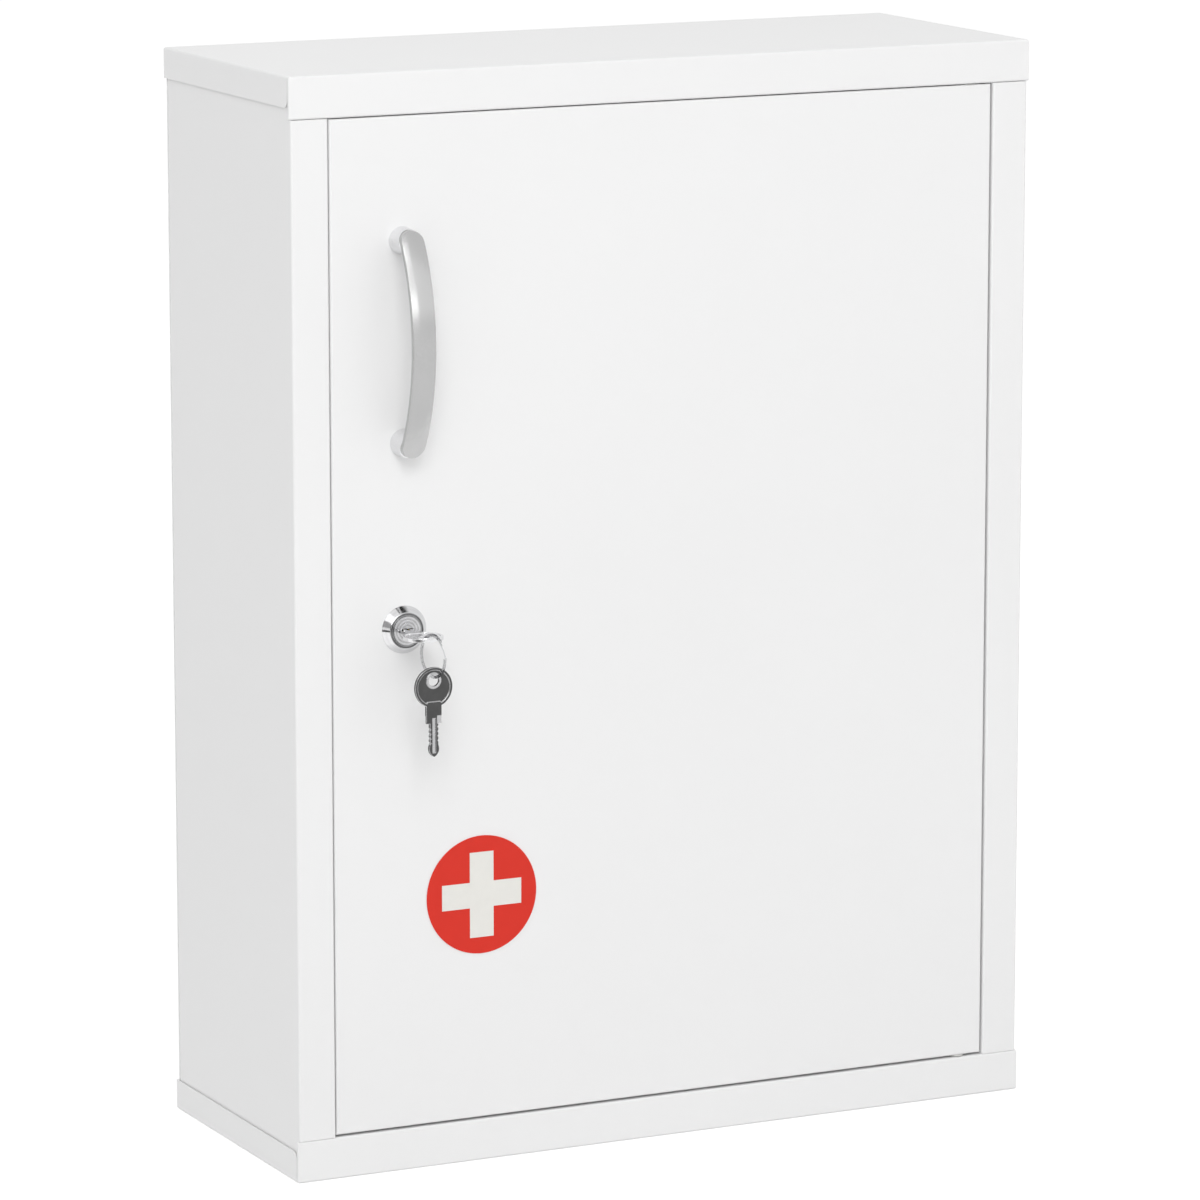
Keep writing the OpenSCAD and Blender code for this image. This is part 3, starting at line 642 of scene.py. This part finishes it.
class CABINET_OT_lock(bpy.types.Operator):
    """Finish the lock's housing, plug, nut, cam and screw"""
    bl_idname = "cabinet.lock"
    bl_label = "Lock"

    def execute(self, context):
        scene = context.scene
        sizes, finish = scene.cabinet_sizes, scene.cabinet_finish
        chrome = turned_material("lock_chrome", scaled(finish.chrome, 0.9),
                                 rough=0.1, shade=0.05, depth=0.002 * MM)
        # Painted shade: darker chrome for the recessed groove round the plug
        painted_groove_shade = plated_material("groove_painted_shade", scaled(finish.chrome, 0.42), rough=0.2)
        # Painted reflection: the plug's chrome is darkened to 0.62 to stand in for the dark
        # surroundings it mirrors. Its strong ring tone is partly the real lathe rings and partly
        # painted bright and dark arcs.
        face = turned_material("plug_painted_dark_reflection", scaled(finish.chrome, 0.62),
                               rough=0.16, shade=0.2, depth=0.012 * MM)
        zinc = plated_material("lock_zinc", finish.zinc, rough=0.32)
        bm = merged_copy("lock_housing")
        shade_turned_groove(bm)
        soften(bm, sharp_edges(bm), sizes.lock_edge, segments=3)
        finished("lock_housing", bm, chrome, painted_groove_shade)
        rounded("lock_plug", sizes.lock_edge, face, segments=3)
        for node in ("lock_nut", "lock_cam", "cam_screw"):
            rounded(node, sizes.hardware_edge, zinc)
        brass = plated_material("wafer_brass", finish.brass, rough=0.3)
        rounded("lock_wafers", sizes.key_edge / 2, brass)
        return {"FINISHED"}


class CABINET_OT_keys(bpy.types.Operator):
    """Finish the key in the lock, and the spare key, whose field is painted dark as a painted
    reflection and whose edges carry painted highlights
    """
    bl_idname = "cabinet.keys"
    bl_label = "Keys"

    def execute(self, context):
        scene = context.scene
        sizes, finish = scene.cabinet_sizes, scene.cabinet_finish
        bright = plated_material("key_nickel", finish.chrome, rough=0.2)
        # Painted reflection: near-black plating in place of the dark surroundings that the spare
        # key's field mirrors
        dark = plated_material("key_field_painted_reflection", finish.key_painted_dark, rough=0.38, tint=0.2)
        # Painted highlight: a lighter copy of the key plating for the spare key's rounded edges,
        # milled floors and the land round its hole
        painted_rim_highlight = plated_material("key_rim_painted_highlight", scaled(finish.chrome, 0.65), rough=0.25, tint=0.15)
        rounded("key", sizes.key_edge, bright)
        bm = merged_copy("spare_key")
        # The spare key's rounded edges take the lighter rim plating: painted highlights along its
        # edges
        for face in soften(bm, sharp_edges(bm), sizes.key_edge, segments=2):
            face.material_index = 1
        paint_groove_highlights(bm, Vector(SPARE_KEY_SWING["pos_m"]))
        finished("spare_key", bm, dark, painted_rim_highlight)
        return {"FINISHED"}


class CABINET_OT_key_ring(bpy.types.Operator):
    """Wind the split ring that carries the keys"""
    bl_idname = "cabinet.key_ring"
    bl_label = "Key Ring"

    def execute(self, context):
        scene = context.scene
        sizes, finish = scene.cabinet_sizes, scene.cabinet_finish
        low, high = (Vector(corner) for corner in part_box("key_ring"))
        centre = (low + high) / 2
        along = Vector(SPARE_KEY_SWING["axis"])
        normal = Vector((-along.y, along.x, 0.0))
        wire, cad_wire, steps_in_turn = sizes.ring_wire, 0.75 * MM, 64
        radius = (high.z - low.z) / 2 - cad_wire
        bm = bmesh.new()
        geom = bmesh.ops.create_circle(bm, cap_ends=False, segments=16, radius=wire)["verts"]
        for axis in "XY":
            bmesh.ops.rotate(bm, verts=geom, cent=(0, 0, 0),
                             matrix=Matrix.Rotation(math.pi / 2, 3, axis))
        bmesh.ops.scale(bm, verts=geom, vec=(sizes.ring_band / wire, 1, 1))
        bmesh.ops.translate(bm, verts=geom, vec=(radius, -wire, 0))
        geom = bm.edges[:] + bm.verts[:]
        # One coil, a step across to the second, and most of that one
        for turns, rise in ((0.9, 0.0), (0.1, 2.0 * wire), (0.86, 0.0)):
            steps = int(steps_in_turn * turns)
            geom = bmesh.ops.spin(bm, geom=geom, cent=(0, 0, 0), axis=(0, 1, 0),
                                  dvec=(0, rise / steps, 0), angle=math.tau * turns,
                                  steps=steps)["geom_last"]
        bmesh.ops.holes_fill(bm, edges=[edge for edge in bm.edges if edge.is_boundary], sides=0)
        turn = Matrix((along, normal, (0, 0, 1))).transposed().to_4x4()
        bmesh.ops.transform(bm, matrix=Matrix.Translation(centre) @ turn, verts=bm.verts)
        bmesh.ops.recalc_face_normals(bm, faces=bm.faces)
        mark_sharp(bm)
        plating = plated_material("ring_chrome", finish.chrome, rough=0.12, tint=0.15)
        mesh = mesh_of("split_ring", bm, plating)
        linked("split_ring", mesh, "key_ring")
        return {"FINISHED"}


class CABINET_OT_sign(bpy.types.Operator):
    """Finish the round red sign and its cross as gloss vinyl"""
    bl_idname = "cabinet.sign"
    bl_label = "Sign"

    def execute(self, context):
        scene = context.scene
        sizes, finish = scene.cabinet_sizes, scene.cabinet_finish
        for node, colour, slot in (("sign_disc", finish.sign_red, "red_vinyl"),
                                   ("sign_cross", finish.sign_white, "white_vinyl")):
            vinyl = plated_material(slot, colour, rough=0.35, metal=0.0, tint=0.03)
            bsdf = vinyl.node_tree.nodes["Principled BSDF"]
            bsdf.inputs["Specular IOR Level"].default_value = 0.25
            rounded(node, sizes.sheet_edge, vinyl)
        return {"FINISHED"}


class CABINET_OT_hinges(bpy.types.Operator):
    """Finish the hidden hinge pins and their nylon bushes"""
    bl_idname = "cabinet.hinges"
    bl_label = "Hinges"

    def execute(self, context):
        scene = context.scene
        sizes, finish = scene.cabinet_sizes, scene.cabinet_finish
        zinc = plated_material("pin_zinc", finish.zinc, rough=0.28)
        nylon = plated_material("bush_nylon", finish.nylon, rough=0.5, metal=0.0, tint=0.05)
        for end in ("upper", "lower"):
            rounded(end + "_hinge_pin", sizes.hardware_edge, zinc)
            bm = merged_copy(end + "_hinge_bush")
            if end == "upper":
                raise_bush_flange(bm, sizes.door_reach)
            soften(bm, sharp_edges(bm), sizes.hardware_edge, segments=2)
            finished(end + "_hinge_bush", bm, nylon)
        return {"FINISHED"}


class CABINET_OT_small_hardware(bpy.types.Operator):
    """Finish the rivets, shelf clips and rubber bumpers"""
    bl_idname = "cabinet.small_hardware"
    bl_label = "Small Hardware"

    def execute(self, context):
        scene = context.scene
        sizes, finish = scene.cabinet_sizes, scene.cabinet_finish
        zinc = plated_material("clip_zinc", finish.zinc, rough=0.35)
        rubber = plated_material("bumper_rubber", finish.rubber, rough=0.7, metal=0.0, tint=0.2)
        for node in ("back_rivets", "shelf_clips"):
            rounded(node, sizes.hardware_edge, zinc)
        rounded("door_bumpers", sizes.hardware_edge, rubber)
        return {"FINISHED"}


class CABINET_OT_stage(bpy.types.Operator):
    """Set up the floor, the soft light and the camera at the photograph's angle"""
    bl_idname = "cabinet.stage"
    bl_label = "Stage"

    def execute(self, context):
        scene = context.scene
        self.floor(scene)
        self.room(scene)
        self.lamp(scene)
        self.cards(scene)
        self.camera(scene)
        scene.view_settings.view_transform = "Standard"
        return {"FINISHED"}

    def floor(self, scene):
        """White floor that keeps the cabinet's shadow and is white to the camera and to mirrors."""
        material, tree, bsdf = shader("floor_white")
        bsdf.inputs["Base Color"].default_value = (0.8, 0.8, 0.8, 1.0)
        bsdf.inputs["Roughness"].default_value = 0.9
        bsdf.inputs["Specular IOR Level"].default_value = 0.0
        bsdf.inputs["Emission Color"].default_value = WHITE
        glow = math_node(tree, "MULTIPLY", seen_directly(tree), scene.cabinet_stage.floor_glow)
        tree.links.new(glow, bsdf.inputs["Emission Strength"])
        bm = bmesh.new()
        bmesh.ops.create_grid(bm, x_segments=1, y_segments=1, size=20.0)
        floor = bpy.data.objects.new("floor", mesh_of("floor", bm, material))
        scene.collection.objects.link(floor)

    def room(self, scene):
        """Even light of a white room, which the camera and mirrors see as plain white."""
        world = bpy.data.worlds.new("studio")
        scene.world = world
        world.use_nodes = True
        tree = world.node_tree
        background = tree.nodes["Background"]
        strength = tree.nodes.new("ShaderNodeMix")
        tree.links.new(seen_directly(tree), strength.inputs["Factor"])
        strength.inputs["A"].default_value = scene.cabinet_stage.ambient
        strength.inputs["B"].default_value = 1.0
        tree.links.new(strength.outputs["Result"], background.inputs["Strength"])
        background.inputs["Color"].default_value = WHITE

    def lamp(self, scene):
        """Large soft lamp above and to the left of the camera."""
        place, aim = Vector((-1.1, -2.6, 2.3)), Vector((0.0, 0.0, 0.3))
        data = bpy.data.lights.new("front_light", "AREA")
        data.size = 1.6
        data.energy = scene.cabinet_stage.key_power
        lamp = bpy.data.objects.new("front_light", data)
        lamp.location = place
        lamp.rotation_euler = (aim - place).to_track_quat("-Z", "Y").to_euler()
        scene.collection.objects.link(lamp)

    def cards(self, scene):
        """Dark, grey and glowing cards round the cabinet, for its plated pieces to reflect."""
        for name, glow, corner, across, along in MIRROR_CARDS:
            material, tree, bsdf = shader(name)
            bsdf.inputs["Base Color"].default_value = BLACK
            bsdf.inputs["Specular IOR Level"].default_value = 0.0
            bsdf.inputs["Emission Color"].default_value = WHITE
            bsdf.inputs["Emission Strength"].default_value = glow
            bm = bmesh.new()
            edge = bmesh.ops.extrude_vert_indiv(bm, verts=[bm.verts.new(corner)])
            bmesh.ops.translate(bm, verts=edge["verts"], vec=across)
            face = bmesh.ops.extrude_edge_only(bm, edges=edge["edges"])
            far_side = [item for item in face["geom"] if isinstance(item, bmesh.types.BMVert)]
            bmesh.ops.translate(bm, verts=far_side, vec=along)
            card = bpy.data.objects.new(name, mesh_of(name, bm, material))
            card.visible_camera = card.visible_diffuse = card.visible_shadow = False
            scene.collection.objects.link(card)

    def camera(self, scene):
        """Camera that was fitted to the corners seen in the photograph."""
        stage = scene.cabinet_stage
        data = bpy.data.cameras.new("photo_camera")
        data.sensor_width = 36.0
        data.lens = data.sensor_width * stage.focal_pixels / stage.photo_pixels
        data.clip_end = 100.0
        camera = bpy.data.objects.new("photo_camera", data)
        camera.location = stage.camera_place
        camera.rotation_euler = (math.pi / 2 + stage.camera_pitch, 0.0, -stage.camera_yaw)
        scene.collection.objects.link(camera)
        scene.camera = camera


OPERATORS = (CABINET_OT_coated_sheets, CABINET_OT_handle, CABINET_OT_lock, CABINET_OT_keys,
             CABINET_OT_key_ring, CABINET_OT_sign, CABINET_OT_hinges, CABINET_OT_small_hardware,
             CABINET_OT_stage)


class CABINET_PT_sidebar(bpy.types.Panel):
    """Lists the cabinet's builders and their settings"""
    bl_idname = "CABINET_PT_sidebar"
    bl_label = "Medicine Cabinet"
    bl_space_type = "VIEW_3D"
    bl_region_type = "UI"
    bl_category = "Cabinet"

    def draw(self, context):
        for operator in OPERATORS:
            self.layout.operator(operator.bl_idname)
        scene = context.scene
        for group in (scene.cabinet_sizes, scene.cabinet_finish, scene.cabinet_stage):
            box = self.layout.box()
            for name in group.__annotations__:
                box.prop(group, name)


CLASSES = (CabinetSizes, CabinetFinish, CabinetStage, *OPERATORS, CABINET_PT_sidebar)


def register():
    for cls in CLASSES:
        bpy.utils.register_class(cls)
    bpy.types.Scene.cabinet_sizes = PointerProperty(type=CabinetSizes)
    bpy.types.Scene.cabinet_finish = PointerProperty(type=CabinetFinish)
    bpy.types.Scene.cabinet_stage = PointerProperty(type=CabinetStage)


def unregister():
    del bpy.types.Scene.cabinet_stage
    del bpy.types.Scene.cabinet_finish
    del bpy.types.Scene.cabinet_sizes
    for cls in reversed(CLASSES):
        bpy.utils.unregister_class(cls)


def main():
    register()
    bpy.ops.cabinet.coated_sheets()
    bpy.ops.cabinet.handle()
    bpy.ops.cabinet.lock()
    bpy.ops.cabinet.keys()
    bpy.ops.cabinet.key_ring()
    bpy.ops.cabinet.sign()
    bpy.ops.cabinet.hinges()
    bpy.ops.cabinet.small_hardware()
    bpy.ops.cabinet.stage()


if __name__ == "__main__":
    main()
